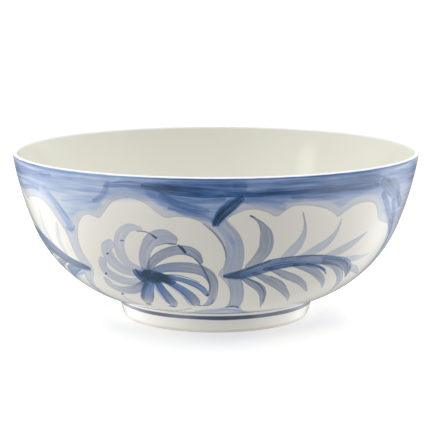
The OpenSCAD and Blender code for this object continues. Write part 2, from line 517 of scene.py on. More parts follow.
# %% [markdown]
# ## The feathery leaf
# A dark midrib leaves the flower's side and arches over. Leaflets grow from it on both
# sides, each one stroke that starts broad and is lifted off to a point.


# %% Leaflets of a leaf
def upper_leaflets(motif):
    motif.mark((0.5, 0.75), (9.8, 66, 2.6), (12.4, 72, 3.8), (14, 79, 4.4), (13.8, 87, 3.9),
               (12.6, 93, 2.2), (11, 97, 0.9), (9.2, 99.9, 0.5))
    motif.mark((0.28, 0.5), (19.8, 71, 2.2), (22.2, 75.5, 3.6), (24, 81, 2.9), (24.9, 87.5, 1.6),
               (24.5, 94, 0.8), (23.5, 100.5, 0.5))
    motif.mark((0.25, 0.4), (24.4, 70, 1.4), (30, 75, 3.2), (33.6, 79.6, 2.9), (35.5, 85, 1.6),
               (36.3, 90.5, 0.8), (36.6, 94, 0.4))
    motif.mark((0.25, 0.4), (33.4, 68.6, 1.6), (40, 72.3, 3.2), (44.2, 75.9, 2.5), (47.2, 79.4, 1.3),
               (49.2, 81.8, 0.4))
    motif.mark(0.28, (43.5, 64.6, 1.6), (48, 63.2, 2.5), (52, 62.6, 1.7), (56, 64.2, 0.5))
    motif.mark(0.38, (48.5, 56.5, 2.0), (52, 53.2, 2.6), (56, 49.2, 1.8), (59.5, 45.5, 0.6))


def lower_leaflets(motif):
    motif.mark((0.8, 0.5), (8.5, 56.5, 1.6), (11.6, 52.2, 2.8), (14.6, 46.8, 3.0), (16.4, 40.5, 2.4),
               (17.4, 33.5, 1.8), (18.2, 27, 1.0), (18.8, 21, 0.4))
    motif.mark((0.75, 0.45), (11.6, 60.6, 1.4), (16, 55, 2.8), (20, 49.5, 3.1), (23.2, 43.8, 2.7),
               (25.8, 38, 2.0), (28, 32.5, 1.1), (29.2, 27.5, 0.4))
    motif.mark((0.7, 0.4), (16.4, 63.6, 1.4), (21.6, 58, 2.7), (26, 53.4, 2.9), (29.6, 48.2, 2.3),
               (32.2, 43, 1.5), (34.5, 38, 0.6))
    motif.mark((0.7, 0.4), (24, 65, 1.4), (30.6, 59.6, 2.6), (34.6, 54.2, 2.7), (37.6, 49, 2.2),
               (39.6, 44.5, 1.5), (41.2, 39.5, 0.6))
    motif.mark((0.6, 0.45), (34, 64.4, 1.4), (39.6, 60, 2.2), (44, 53.5, 2.6), (47.4, 46.5, 2.5),
               (50, 39, 2.2), (51, 31, 1.0))
    # Fine dark edges on them, and the dark tip of the first upper leaflet
    motif.mark(0.8, (10, 56, 0.6), (13.4, 51.5, 0.7), (15.8, 45.5, 0.6), (17.4, 38, 0.5),
               (18.2, 30, 0.3))
    motif.mark(0.6, (17, 57.5, 0.5), (21, 52.5, 0.6), (24, 46.5, 0.4))
    motif.mark(1.0, (28, 65, 0.8), (32, 62.3, 0.9), (35.2, 59, 0.8), (38, 54, 0.5))
    motif.mark(1.4, (10.4, 98.8, 0.35), (9, 100, 0.6))


# %% [markdown]
# The midrib is laid over the leaflets' ends: first one broad stroke, then darker ones along
# it while it is still wet, heaviest where the brush was set down beside the flower.


# %% Midrib of a leaf
def midrib(motif):
    motif.mark((1.2, 0.8), (2.6, 58.8, 1.2), (7, 59.6, 3.2), (12, 63, 4.0), (17, 66.4, 4.2),
               (22, 67.6, 4.0), (28, 67.8, 3.8), (34, 66.6, 3.6), (40, 63.5, 3.2), (45, 58.5, 3.0),
               (48.8, 52.5, 2.4), (50.6, 47, 1.2))
    motif.wash((2.4, 1.0), (3, 58.8, 1.6), (7, 58.4, 2.8), (11, 60.2, 3.0), (15, 62.8, 2.8))
    motif.wash((2.0, 1.4), (15, 63.6, 1.8), (19, 65.2, 2.4), (24, 65.6, 2.0), (29, 64.4, 1.7),
               (33, 61.6, 1.2), (36.4, 57.6, 0.9))
    motif.mark(0.7, (4, 60.6, 0.7), (8, 63, 1.2), (12, 66.4, 1.1), (16, 69.6, 0.8))
    motif.mark(0.6, (15, 70, 0.4), (21, 71.2, 0.6), (27, 71.3, 0.6), (33, 70.2, 0.4))
    motif.wash((1.1, 2.1), (34, 67, 1.4), (40.5, 65, 2.1), (45, 61, 2.3), (48, 55.6, 2.2), (50, 50, 1.3))


def leaf(motif):
    for part in (upper_leaflets, lower_leaflets, midrib):
        part(motif)


# %% [markdown]
# The leaf on the flower's other side isn't a mirror image. The painter drew it afresh: its
# midrib climbs away from the flower before it bends over, and its leaflets are thinner.


# %% Draw the leaf on the other side
def left_leaf(motif):
    # The midrib
    motif.mark((2.3, 1.6), (-44.6, 56.4, 1.4), (-48, 57, 2.6), (-52, 58.4, 3.8), (-57, 61.4, 5.2),
               (-62, 65.4, 6.0), (-67, 69.6, 5.8), (-73, 72.4, 5.0), (-79, 72, 4.2), (-84, 68, 3.4),
               (-88, 60, 1.4))
    motif.wash((3.0, 1.2), (-45, 56.4, 2.2), (-48.6, 57, 3.2), (-52.5, 58.2, 3.4), (-58, 60.2, 3.0),
               (-64, 62.4, 2.6), (-72, 65, 2.0))
    motif.wash(0.8, (-58, 66, 1.0), (-63, 69.5, 1.6), (-68, 74, 1.8), (-74, 77, 1.0))
    # Leaflets above, thin and pale
    motif.mark(0.2, (-53.4, 66, 2.2), (-54, 73, 2.8), (-53, 80.5, 2.2), (-51.8, 87, 1.0))
    motif.mark(0.22, (-60, 71, 1.6), (-61.4, 78, 2.6), (-61.4, 86, 1.8), (-60.4, 93, 0.7))
    motif.mark(0.34, (-67, 76, 1.8), (-70.6, 81, 2.8), (-72.6, 88, 2.0), (-72.8, 96, 0.7))
    motif.mark(0.4, (-76, 76, 1.8), (-80.4, 79.6, 2.8), (-83.8, 85, 2.0), (-85.6, 92, 0.7))
    motif.mark(0.4, (-83, 70, 1.6), (-88, 71.4, 2.6), (-92.6, 75, 1.8), (-96, 80, 0.5))
    # Leaflets below, with more paint
    motif.wash((1.2, 0.6), (-49.4, 52.4, 1.6), (-53, 49.6, 2.4), (-57, 46, 2.2), (-60, 41, 1.2))
    motif.mark((1.6, 1.3), (-50.6, 54, 1.6), (-55, 52, 3.6), (-59, 48.4, 4.0), (-62.4, 43, 2.4),
               (-65, 36, 0.8))
    motif.mark((0.8, 0.4), (-57, 57.6, 1.6), (-62.6, 54.4, 2.8), (-67.4, 49.4, 2.8), (-71, 42.6, 2.0),
               (-73, 35, 0.7))
    motif.mark((0.7, 0.4), (-65, 62.4, 1.6), (-70.6, 59.6, 2.8), (-75.4, 54.6, 2.8), (-79, 47.6, 2.0),
               (-81, 39, 0.7))
    motif.mark((0.7, 0.4), (-74, 66.4, 1.6), (-79.6, 62.6, 2.6), (-84, 56, 2.6), (-87, 48, 1.8),
               (-88.4, 39, 0.6))


# %% [markdown]
# ## The panels
# Each motif sits on a white panel with a scalloped edge. The painter left the panels bare
# and washed everything between them, so a panel is a closed line that the wash respects.


# %% Edges of the panels
def flower_panel(motif):
    motif.panel(
        (-33.2, 95), (-31.3, 98.5), (-29.5, 103), (-26.5, 107.8), (-22.5, 109.4), (-18.8, 107),
        (-15.8, 101.8), (-13.2, 98.2), (-10, 99.2), (-6.5, 98.3), (-3.6, 95.6), (-1.2, 91),
        (0.8, 85.5), (2.2, 79.5), (2.7, 73), (2.2, 66.8), (0.8, 61), (1.8, 56.5), (3.6, 51),
        (4.7, 44), (5, 36.5), (4.6, 29), (3.2, 24), (0, 21.5), (-4, 20.5), (-7.5, 17), (-11, 11),
        (-16, 6), (-23, 3.5), (-31, 4.5), (-39, 8), (-45, 13.5), (-49.5, 21), (-51, 30), (-50, 38),
        (-47, 45.5), (-43.8, 52), (-42.4, 59.5), (-43.3, 66), (-43.6, 74), (-43, 81), (-41.6, 88),
        (-39.5, 93.5), (-37, 96.4),
    )


def leaf_panel(motif):
    motif.panel(
        (3, 97.3), (6, 102), (9.5, 103.8), (13, 102.2), (16, 98.8), (18, 101.5), (20.5, 104.6),
        (25, 104.4), (30, 101.8), (33.3, 98), (35.2, 95.4), (37.5, 98.5), (41, 101.8), (45, 102.4),
        (48.8, 100), (51, 95), (53.2, 88.6), (57, 85.4), (60.5, 83), (62.8, 77.5), (64.3, 69),
        (64.5, 59), (63.6, 47), (62, 35), (59.5, 24), (55, 15), (48, 9), (39, 6), (29, 6.5),
        (20, 9.5), (14.5, 13), (11.5, 18), (10, 25), (10.1, 33), (9.6, 42), (8.8, 51), (7.6, 58),
        (7.9, 66), (8.2, 74), (7.6, 82), (6, 89.5),
    )


def left_leaf_panel(motif):
    motif.panel(
        (-47.8, 60), (-48.2, 68), (-48.2, 76), (-48.8, 83), (-50.4, 88.4), (-52.2, 93.4),
        (-54.2, 97.6), (-57, 100.4), (-61, 101), (-65, 99.8), (-68.4, 97.4), (-70.8, 100),
        (-74.6, 103.4), (-79, 104.2), (-83.6, 102), (-86.6, 98.4), (-89.4, 101), (-93.4, 102.6),
        (-97.6, 100.4), (-101, 94), (-103.6, 85), (-105.6, 74), (-106.4, 62), (-105.6, 49),
        (-103.4, 36), (-99.6, 24), (-93, 14), (-84, 8.6), (-74, 7), (-66, 9), (-60, 13.4),
        (-56.8, 20), (-55.8, 28), (-54.6, 36), (-52.4, 43.6), (-50, 50), (-48.2, 55),
    )


# %% [markdown]
# ## Between the panels
# Here the brush filled the ground in a hurry: broad upright strokes between flower and
# leaf, slanting strokes down from the band, and scribbles in the corners above the panels.


# %% Washes between the panels
def dividers(motif):
    # Upright stroke between flower and leaf, above and below the midrib's start
    motif.mark(0.22, (0.5, 97, 4.0), (3.4, 90.5, 4.4), (5.1, 82.5, 5.0), (5.5, 74, 5.2),
               (5.0, 66, 5.4), (4.4, 60.5, 4.2))
    motif.mark(0.25, (5.6, 57, 3.8), (6.6, 49.5, 4.2), (7.3, 41, 4.2), (7.4, 32.5, 4.2), (7, 26, 3.4))
    # The dab that ends it, the washes above the foot, and the liner along the flower's edge
    motif.mark(1.5, (4.2, 23.6, 0.9), (6, 25.2, 1.5), (8, 24.4, 1.5), (9.4, 21.6, 0.7))
    motif.wash(0.8, (-9, 14, 1.5), (-2, 15.5, 2.2), (4, 18, 2.6), (9.5, 15, 2.6), (14, 9.5, 1.2))
    motif.wash(1.3, (-60, 3, 1.2), (-40, 2.4, 1.4), (-20, 2.2, 1.4), (-6, 3.4, 2.4), (4, 4.4, 3.2),
               (14, 4, 3.0), (26, 3, 2.0), (42, 2.8, 1.5), (62, 3.4, 1.2))
    motif.mark(0.7, (-3.3, 95.2, 0.4), (-0.9, 90.6, 0.6), (1.1, 85, 0.7), (2.5, 79, 0.6),
               (3, 72.5, 0.4))
    # Slanting strokes above the notch, with a heavy end
    motif.mark((0.5, 0.9), (5.8, 109.5, 2.0), (4, 105.5, 2.4), (1.6, 100.6, 2.2), (0.2, 96.5, 1.2))
    motif.wash((2.4, 3.4), (6.2, 110.5, 2.4), (3.8, 106, 3.4), (1.5, 101, 3.2), (0, 95.5, 1.8))
    motif.mark(1.6, (0, 96, 0.8), (-0.5, 94.3, 1.2))
    motif.wash(0.6, (-17, 113, 2.4), (-11.5, 108.6, 4.4), (-5.5, 105, 5.0), (0.5, 104, 4.2))
    motif.wash(0.9, (-14, 112, 1.6), (-10.5, 108, 2.2), (-6, 104.8, 2.6), (-2.2, 103.2, 1.6))
    motif.wash(1.0, (-12, 105, 1.2), (-8, 102.8, 2.2), (-3.8, 100.4, 2.4), (-0.8, 97, 1.2))
    motif.wash(0.7, (-18, 114.5, 1.0), (-13.4, 110.4, 1.8), (-9.6, 107, 1.2))
    motif.wash(0.45, (8, 109.5, 2.0), (13, 107.4, 2.8), (17.5, 104.4, 2.4))
    # Over the flower's left shoulder
    motif.wash(0.30, (-44, 94.5, 0.8), (-40, 98.5, 1.6), (-36, 100.6, 2.4), (-32, 104, 2.2))
    motif.wash(0.40, (-46, 103.5, 1.6), (-41, 104.8, 2.4), (-36, 106, 2.6), (-31.5, 108.8, 1.4))
    motif.wash(0.9, (-28.6, 118, 1.2), (-29.4, 113, 1.6), (-31, 108.8, 1.7), (-34, 106, 1.1))


def leaf_gap(motif):
    """Between two leaves, or between a leaf's tip and what is beyond it."""
    motif.wash(2.4, (52.5, 114, 1.6), (56, 111.4, 2.8), (59.6, 107.4, 3.0), (62.6, 102, 2.0))
    motif.wash(2.1, (50.5, 114, 2.6), (54, 109, 3.0), (58, 104.5, 3.2), (62, 100.3, 3.0), (66, 95, 2.4))
    motif.wash(1.9, (52, 106, 1.8), (55.4, 98, 2.4), (59, 90, 2.8), (62.8, 84, 3.0), (65.6, 77, 2.6))
    motif.wash(1.9, (59, 99, 1.8), (62, 92, 2.4), (64.5, 85, 2.4), (66.6, 75, 2.4), (67, 64, 2.2))
    motif.mark(1.2, (61, 102, 1.1), (62.2, 100.4, 1.3))
    motif.mark(1.0, (61.2, 86, 0.9), (62.6, 84.2, 1.3), (64, 82.6, 0.9))
    motif.wash(0.6, (66.8, 60, 2.2), (66.6, 48, 2.4), (65.4, 36, 2.6), (63.6, 26, 2.8), (60, 16, 2.4))
    motif.mark(1.8, (46.6, 113.4, 0.9), (47.8, 112.6, 1.3), (49, 112, 0.9))
    motif.mark(1.6, (53, 113.6, 0.9), (54.2, 113.2, 1.2))


def slanting_stroke(motif):
    """The broad pale stroke with a dark rim that falls between a leaf and the flower."""
    motif.wash(0.4, (-53.5, 108.6, 2.6), (-50.5, 103, 3.0), (-47.8, 96.4, 3.0), (-45.8, 90, 3.4),
               (-45.2, 86, 3.0))
    motif.wash((0.5, 0.9), (-52, 106, 1.0), (-49, 101, 1.3), (-46.6, 95.4, 1.4), (-45.2, 92, 1.0))
    motif.wash(0.6, (-47.6, 84.8, 0.9), (-46.2, 83.6, 1.3), (-44.6, 84.4, 1.3), (-43.6, 87.5, 1.0))
    motif.wash((0.2, 0.55), (-50.6, 44, 1.6), (-52, 36, 2.4), (-53.2, 29, 2.8), (-53, 22, 2.4))


# %% [markdown]
# ## The band under the lip
# The band was laid with a wide, wet brush as the bowl turned: several passes that start
# and stop, dark where two passes cross and pale where the brush was thin. Its lower edge
# wanders, since the painter ran it into the washes between the panels.


# %% Draw the band
def band():
    front = Motif()
    # Dark passes at the front
    front.wash(3.6, (-19, 117.5, 1.1), (-13.5, 116.2, 2.3), (-7.5, 114.8, 2.6), (0, 114, 2.2),
               (8, 113.4, 1.4), (16, 113.3, 1.7), (24, 113.6, 1.3), (31, 113.4, 1.8),
               (39, 113.2, 1.6), (46, 112.8, 1.0))
    front.wash(1.3, (-30, 116, 0.8), (-24, 117.8, 2.2), (-17, 117.4, 2.9), (-10, 118.3, 2.3),
               (-2, 118, 2.6), (7, 117.7, 2.4))
    front.wash(0.8, (-15.5, 116, 1.0), (-11.5, 111, 1.6), (-6, 110, 1.8), (2, 111, 1.4))
    front.wash((0.8, 1.3), (5, 118.6, 2.0), (14, 117.4, 2.2), (22, 118, 2.5), (31, 117, 3.2),
               (40, 117.6, 2.8), (48, 116.4, 2.2))
    front.wash(1.1, (20, 110.6, 1.2), (27, 110, 1.8), (35, 110.6, 2.2), (43, 110.8, 1.6),
               (50, 112, 1.0))
    front.wash(1.1, (40, 119.2, 0.8), (46, 118.4, 1.0), (51, 116, 1.3), (54.5, 113.2, 1.1),
               (57, 109, 0.8))
    # Passes round to the left, thinner and bluer
    front.wash(0.42, (-28, 118.2, 1.4), (-34, 117.2, 2.0), (-41, 116.8, 2.2), (-48, 115.6, 2.0),
               (-54, 117.5, 1.6))
    front.wash(0.30, (-30, 112.3, 1.2), (-37, 112.4, 1.8), (-44, 111.6, 2.2), (-52, 110.5, 2.0),
               (-60, 108.4, 1.6))
    front.wash(1.3, (-49, 118.3, 0.9), (-56, 117.2, 1.8), (-64, 116.8, 2.4), (-72, 115.8, 3.0),
               (-80, 115.5, 2.2))
    front.wash(1.2, (-57, 107, 0.8), (-62.5, 107.6, 1.6), (-69, 105.5, 2.0), (-76, 106, 2.4))
    front.wash(1.1, (53, 118, 1.0), (60, 117.4, 2.2), (68, 117, 2.6), (77, 116, 2.6), (86, 116.8, 1.6))
    front.wash(0.7, (60, 111, 1.2), (67, 110.6, 2.2), (75, 109.5, 2.6), (84, 110.6, 1.8))


# %% [markdown]
# Round the back the same hand went on. Each pass is a stroke of three lines, one over the
# other, and the next pass starts a little before it ends.

# %% Draw the band round the back
BACK_START = 82.0
BACK_END = 276.0
BACK_LINES = ((118.0, 0.8), (114.2, 1.2), (110.2, 0.75))
BRUSH_HALVES = (0.9, 2.1, 2.5, 2.2, 0.9)


def back_of_band():
    """Passes of a random length, from one side of the bowl to the other."""
    back = Motif()
    turn = BACK_START
    while turn < BACK_END:
        reach = hand.uniform(22, 34)
        for middle, strength in BACK_LINES:
            rows = [
                (turn + reach * step / 4 + hand.uniform(-1.5, 1.5),
                 middle + hand.uniform(-0.9, 0.9),
                 half * hand.uniform(0.8, 1.15))
                for step, half in enumerate(BRUSH_HALVES)
            ]
            back.wash(strength * hand.uniform(0.65, 1.3), *rows)
        turn += reach - hand.uniform(2, 5)


# %% [markdown]
# The pattern goes twice round the bowl: once at the front, and once at the back in a
# looser hand. Its parts are drawn in the painter's order, motifs before their surroundings.

# %% Draw the whole painting
band()
back_of_band()
PATTERN = (
    flower_panel, leaf_panel, left_leaf_panel, flower, leaf, left_leaf, dividers, leaf_gap,
    slanting_stroke,
)
for turn, loose in ((0.0, 0.0), (180.0, 1.0)):
    motif = Motif(turn, loose)
    for draw in PATTERN:
        draw(motif)
print(len(marks), "brush marks,", len(panels), "panels")


# %% [markdown]
# ## Laying the marks on the wall
# For each point of the wall, three numbers say where it is in a mark: how far along it,
# how far off its middle line, and the square of its half width there. The shader works
# out the mark's edge from them between the points, so edges stay sharp on a mesh of
# millimetre steps. Marks that touch go into different layers.


# %% Points of the wall
wall_mesh = painted_wall.data
wall_points = np.empty(len(wall_mesh.vertices) * 3, np.float32)
wall_mesh.vertices.foreach_get("co", wall_points)
wall_points = wall_points.reshape(-1, 3).astype(float) / MM
radii = np.hypot(wall_points[:, 0], wall_points[:, 1])
turns = np.arctan2(wall_points[:, 0], -wall_points[:, 1])
from_belly = np.arctan2(radii - belly_centre[0], belly_centre[1] - wall_points[:, 2])
from_shoulder = np.arctan2(radii - shoulder_centre[0], shoulder_centre[1] - wall_points[:, 2])
on_belly = from_belly < belly_end
facing = np.where(on_belly, from_belly, from_shoulder)
ups = np.where(
    on_belly,
    (from_belly - joint_angle) * BELLY_R,
    belly_length + (from_shoulder - belly_end) * SHOULDER_R,
)
out_normals = np.stack(
    [np.sin(facing) * np.sin(turns), -np.sin(facing) * np.cos(turns), -np.cos(facing)], -1
)
print("the wall's points rise", round(float(ups.max()), 1), "mm from the foot")


# %% Along and across one mark
def lengths_along(line):
    """The lengths of a line's steps, and how far along the line each place is."""
    lengths = np.linalg.norm(line[1:] - line[:-1], axis=1)
    return lengths, np.concatenate([[0.0], np.cumsum(lengths)])


def nearest_on_line(points, normals, line):
    """For each point: distance along a line of 3D places, signed distance off it, and how
    far beyond its ends, all in mm."""
    steps = line[1:] - line[:-1]
    lengths, along_at = lengths_along(line)
    headings = steps / lengths[:, None]
    offsets = points[:, None, :] - line[None, :-1, :]
    forward = np.einsum("pkc,kc->pk", offsets, headings)
    clamped = np.clip(forward, 0, lengths)
    gaps = offsets - clamped[..., None] * headings
    squares = np.einsum("pkc,pkc->pk", gaps, gaps)
    best = np.argmin(squares, axis=1)
    rows = np.arange(len(points))
    gap = gaps[rows, best]
    side = np.cross(normals, headings[best])
    sideways = np.einsum("pc,pc->p", offsets[rows, best], side)
    before = np.where(best == 0, np.maximum(-forward[rows, 0], 0), 0)
    last = len(lengths) - 1
    after = np.where(best == last, np.maximum(forward[rows, last] - lengths[last], 0), 0)
    beyond = before + after
    off = np.sign(sideways) * np.linalg.norm(gap, axis=1)
    off = np.where(beyond > 0, sideways, off)
    return along_at[best] + clamped[rows, best] + after - before, off, beyond


# %% [markdown]
# Every mark gets the first layer in which it keeps clear of the marks already there. Its
# distances start at a number of its own, so that no two marks have the same streaks.

# %% Sort the marks into layers
CLEAR = {CRISP: 2.0, SOFT: 2.8}
GAP = 2.0
FAR = -9.0
MARK_STEP = 37.0
layers = []


def new_layer(kind):
    count = len(wall_points)
    return {
        "kind": kind,
        "place": np.tile([0.0, 0.0, FAR], (count, 1)),
        "strength": np.zeros(count),
        "taken": np.zeros(count, bool),
    }


for number, (rows, strength, kind) in enumerate(marks):
    fine = smooth_line(rows)
    line = on_wall(fine[:, 0], fine[:, 1])
    reach = float(rows[:, 2].max()) + CLEAR[kind] + GAP
    low = line.min(0) - reach
    high = line.max(0) + reach
    near = np.flatnonzero(np.all((wall_points > low) & (wall_points < high), axis=1))
    along, off, beyond = nearest_on_line(wall_points[near], out_normals[near], line)
    along_at = lengths_along(line)[1]
    on_line = np.clip(along, 0, along_at[-1])
    half = np.interp(on_line, along_at, np.maximum(fine[:, 2], 0.25))
    square = half ** 2 - beyond ** 2
    inside = (square - off ** 2) / (np.sqrt(np.maximum(square, 0.01)) + np.abs(off))
    core = inside > -CLEAR[kind]
    around = near[inside > -CLEAR[kind] - GAP]
    for layer in layers:
        if layer["kind"] == kind and not np.any(layer["taken"][around]):
            break
    else:
        layer = new_layer(kind)
        layers.append(layer)
    spots = near[core]
    layer["place"][spots] = np.stack([along + MARK_STEP * number, off, square], -1)[core]
    ends = (0, along_at[-1])
    layer["strength"][spots] = np.interp(on_line, ends, np.broadcast_to(strength, 2))[core]
    layer["taken"][spots] = True
print(len(layers), "layers of brush marks")

# %% [markdown]
# The wash stops at the panels' edges. Each point of the wall learns how far it is from the
# nearest edge, with a minus inside a panel, and how far along that edge, for the streaks.


# %% The wash round the panels
def inside_outline(outline, degrees, up):
    """Whether places lie inside a closed outline on the unrolled wall."""
    inside = np.zeros(len(degrees), bool)
    for (d0, u0), (d1, u1) in zip(outline, np.roll(outline, -1, axis=0)):
        spans = (u0 > up) != (u1 > up)
        if u0 != u1:
            crossing = d0 + (up - u0) * (d1 - d0) / (u1 - u0)
            inside ^= spans & (degrees < crossing)
    return inside


WASH_REACH = 12.0
PANEL_HALF_TURN = 48.0
PANEL_STEP = 500.0
outside_by = np.full(len(wall_points), WASH_REACH)
wash_along = ups.copy()
for number, rows in enumerate(panels):
    fine = smooth_line(rows, 6, closed=True)
    line = on_wall(fine[:, 0], fine[:, 1])
    line = np.concatenate([line, line[:1]])
    middle = float(fine[:, 0].mean())
    degrees = middle + (np.degrees(turns) - middle + 180.0) % 360.0 - 180.0
    near = np.flatnonzero(np.abs(degrees - middle) < PANEL_HALF_TURN)
    for chunk in np.array_split(near, 12):
        along, off, beyond = nearest_on_line(wall_points[chunk], out_normals[chunk], line)
        within = inside_outline(fine, degrees[chunk], ups[chunk])
        distance = np.where(within, -1.0, 1.0) * np.hypot(off, beyond)
        closer = distance < outside_by[chunk]
        outside_by[chunk[closer]] = distance[closer]
        wash_along[chunk[closer]] = along[closer] + PANEL_STEP * number
outside_by = np.clip(outside_by, -WASH_REACH, WASH_REACH)
print("wash covers", round(100 * float(np.mean(outside_by > 0))), "% of the wall's points")

# %% [markdown]
# Attributes on the mesh's points carry all of this to the shader. The band's load is one
# more number: how wet the brush was at each place round the bowl. The lip gets it too,
# because the band's paint comes up on to it.


# %% Store the painting on the wall
def store(name, kind, values, mesh=wall_mesh):
    """Puts one number or one triple on each point of a mesh."""
    attribute = mesh.attributes.new(name, kind, "POINT")
    field = "vector" if kind == "FLOAT_VECTOR" else "value"
    attribute.data.foreach_set(field, np.asarray(values, np.float32).ravel())


for number, layer in enumerate(layers):
    store(f"marks_{number}", "FLOAT_VECTOR", layer["place"])
    store(f"strength_{number}", "FLOAT", layer["strength"])
store("wash", "FLOAT_VECTOR", np.stack([wash_along, outside_by, ups], -1))
band_points = np.array([
    (-180, 0.9), (-150, 1.1), (-120, 0.8), (-95, 1.1), (-75, 1.4), (-62, 1.3), (-50, 0.6),
    (-32, 0.42), (-22, 0.8), (-10, 1.15), (8, 1.2), (25, 1.15), (42, 1.4), (58, 1.25), (75, 1.25),
    (95, 1.1), (120, 0.8), (150, 1.0), (180, 0.9),
])
lip_turns = [math.atan2(point.co.x, -point.co.y) for point in lining.data.vertices]
for mesh, mesh_turns in ((wall_mesh, turns), (lining.data, lip_turns)):
    load = np.interp(np.degrees(mesh_turns), band_points[:, 0], band_points[:, 1])
    store("band_load", "FLOAT", load, mesh)
print(len(wall_mesh.attributes), "attributes on the wall's mesh")

# %% [markdown]
# ## Shader maths as plain sums
# A shader is a net of small nodes. To keep it readable, a wire out of a node is wrapped
# in a class that knows how to add, subtract and multiply, and each sum adds its own Math
# node. Every other node comes from one method that takes its type, settings and inputs.


# %% Wires and nets
class Wire:
    """One output of a node, on which sums can be written."""

    def __init__(self, net, socket):
        self.net = net
        self.socket = socket

    def maths(self, operation, *values):
        return self.net.node("ShaderNodeMath", {"operation": operation}, dict(enumerate(values)))

    def __add__(self, other):
        return self.maths("ADD", self, other)

    def __sub__(self, other):
        return self.maths("SUBTRACT", self, other)

    def __rsub__(self, other):
        return self.maths("SUBTRACT", other, self)

    def __mul__(self, other):
        return self.maths("MULTIPLY", self, other)

    def __truediv__(self, other):
        return self.maths("DIVIDE", self, other)

    def __neg__(self):
        return self.maths("MULTIPLY", self, -1.0)

    __radd__ = __add__
    __rmul__ = __mul__

    def at_least(self, other):
        return self.maths("MAXIMUM", self, other)

    def at_most(self, other):
        return self.maths("MINIMUM", self, other)

    def root(self):
        return self.maths("SQRT", self)

    def size(self):
        return self.maths("ABSOLUTE", self)

    def exp(self):
        return self.maths("EXPONENT", self)

    def ramp(self, low, high, to_low=0.0, to_high=1.0):
        """Runs smoothly from one value to another as this wire goes from low to high."""
        inputs = {"Value": self, "From Min": low, "From Max": high, "To Min": to_low, "To Max": to_high}
        return self.net.node("ShaderNodeMapRange", {"interpolation_type": "SMOOTHSTEP"}, inputs)


class Net:
    """The nodes of one material, or of the world."""

    def __init__(self, owner):
        owner.use_nodes = True
        self.tree = owner.node_tree
        self.tree.nodes.clear()

    def node(self, kind, settings=None, inputs=None, output=0):
        """A new node and the wire out of it. Inputs are values or wires."""
        made = self.tree.nodes.new(kind)
        for name, value in (settings or {}).items():
            setattr(made, name, value)
        for name, value in (inputs or {}).items():
            if isinstance(value, Wire):
                self.tree.links.new(value.socket, made.inputs[name])
            else:
                made.inputs[name].default_value = value
        return Wire(self, made.outputs[output]) if made.outputs else None

    def object_place(self):
        return self.node("ShaderNodeTexCoord", output="Object")

    def attribute(self, name, output="Fac"):
        """What is stored on the mesh's points under a name."""
        return self.node("ShaderNodeAttribute", {"attribute_name": name}, output=output)

    def parts(self, vector):
        """The three numbers of a vector, each as its own wire."""
        return [
            self.node("ShaderNodeSeparateXYZ", inputs={"Vector": vector}, output=axis)
            for axis in ("X", "Y", "Z")
        ]

    def vector(self, x, y, z):
        return self.node("ShaderNodeCombineXYZ", inputs={"X": x, "Y": y, "Z": z})

    def noise(self, vector, scale, detail=2.0, roughness=0.5):
        inputs = {"Vector": vector, "Scale": scale, "Detail": detail, "Roughness": roughness}
        return self.node("ShaderNodeTexNoise", {"noise_dimensions": "3D"}, inputs)

    def mix(self, factor, first, second, blend="MIX"):
        """Colours go through Mix, because a Math node would turn them grey. Its sockets are
        numbered, since those for numbers, vectors and colours share their names."""
        settings = {"data_type": "RGBA", "blend_type": blend}
        return self.node("ShaderNodeMix", settings, {0: factor, 6: first, 7: second}, 2)


class Finish(Net):
    """A material that is built node by node."""

    def __init__(self, name):
        self.material = bpy.data.materials.new(name)
        super().__init__(self.material)

    def cover(self, piece, colour, roughness, height=None, height_mm=0.02, **constants):
        """Ends the net in a glossy shader and puts the material on a piece."""
        inputs = {"Base Color": colour, "Roughness": roughness, **constants}
        if height is not None:
            bump = {"Height": height, "Distance": height_mm * MM, "Strength": 1.0}
            inputs["Normal"] = self.node("ShaderNodeBump", inputs=bump)
        shader = self.node("ShaderNodeBsdfPrincipled", inputs=inputs)
        self.node("ShaderNodeOutputMaterial", inputs={"Surface": shader})
        piece.data.materials.clear()
        piece.data.materials.append(self.material)
        print(self.material.name, "has", len(self.tree.nodes), "nodes")


# %% [markdown]
# ## Clear glaze over white porcelain
# The glaze is glassy and a little uneven: faint waves catch the light, tiny dark specks
# come from iron in the clay, and the white is warm, more so where the glaze is thick.

# %% Parts that all glazes share
GLAZE_WHITE = (0.80, 0.785, 0.715, 1.0)
GLAZE_WARM = (0.78, 0.75, 0.67, 1.0)
IRON = (0.42, 0.36, 0.27, 1.0)
GLAZE_IOR = 1.5


def glaze_ground(finish, white=GLAZE_WHITE, warm=GLAZE_WARM):
    """The colour of bare glazed porcelain, with its clouds and specks."""
    place = finish.object_place()
    clouds = finish.noise(place, 22.0, 3.0).ramp(0.35, 0.7)
    ground = finish.mix(clouds * 0.6, white, warm)
    specks = finish.noise(place, 620.0, 1.0).ramp(0.80, 0.86)
    return finish.mix(specks * 0.35, ground, IRON)


def glaze_waves(finish):
    """Height of the glaze's surface: slow waves with a fine orange peel on them."""
    place = finish.object_place()
    slow = finish.noise(place, 55.0, 2.0)
    fine = finish.noise(place, 420.0, 2.0)
    return slow + fine * 0.12


def glaze_gloss(finish):
    """Roughness: glassy, with slightly duller clouds where hands and cloths have been."""
    return finish.noise(finish.object_place(), 35.0, 4.0).ramp(0.35, 0.75, 0.05, 0.13)


def glaze_over(finish, piece, colour, wave_mm):
    """Covers a piece in clear glaze with a colour under it."""
    gloss = glaze_gloss(finish)
    finish.cover(piece, colour, gloss, glaze_waves(finish), wave_mm, IOR=GLAZE_IOR)


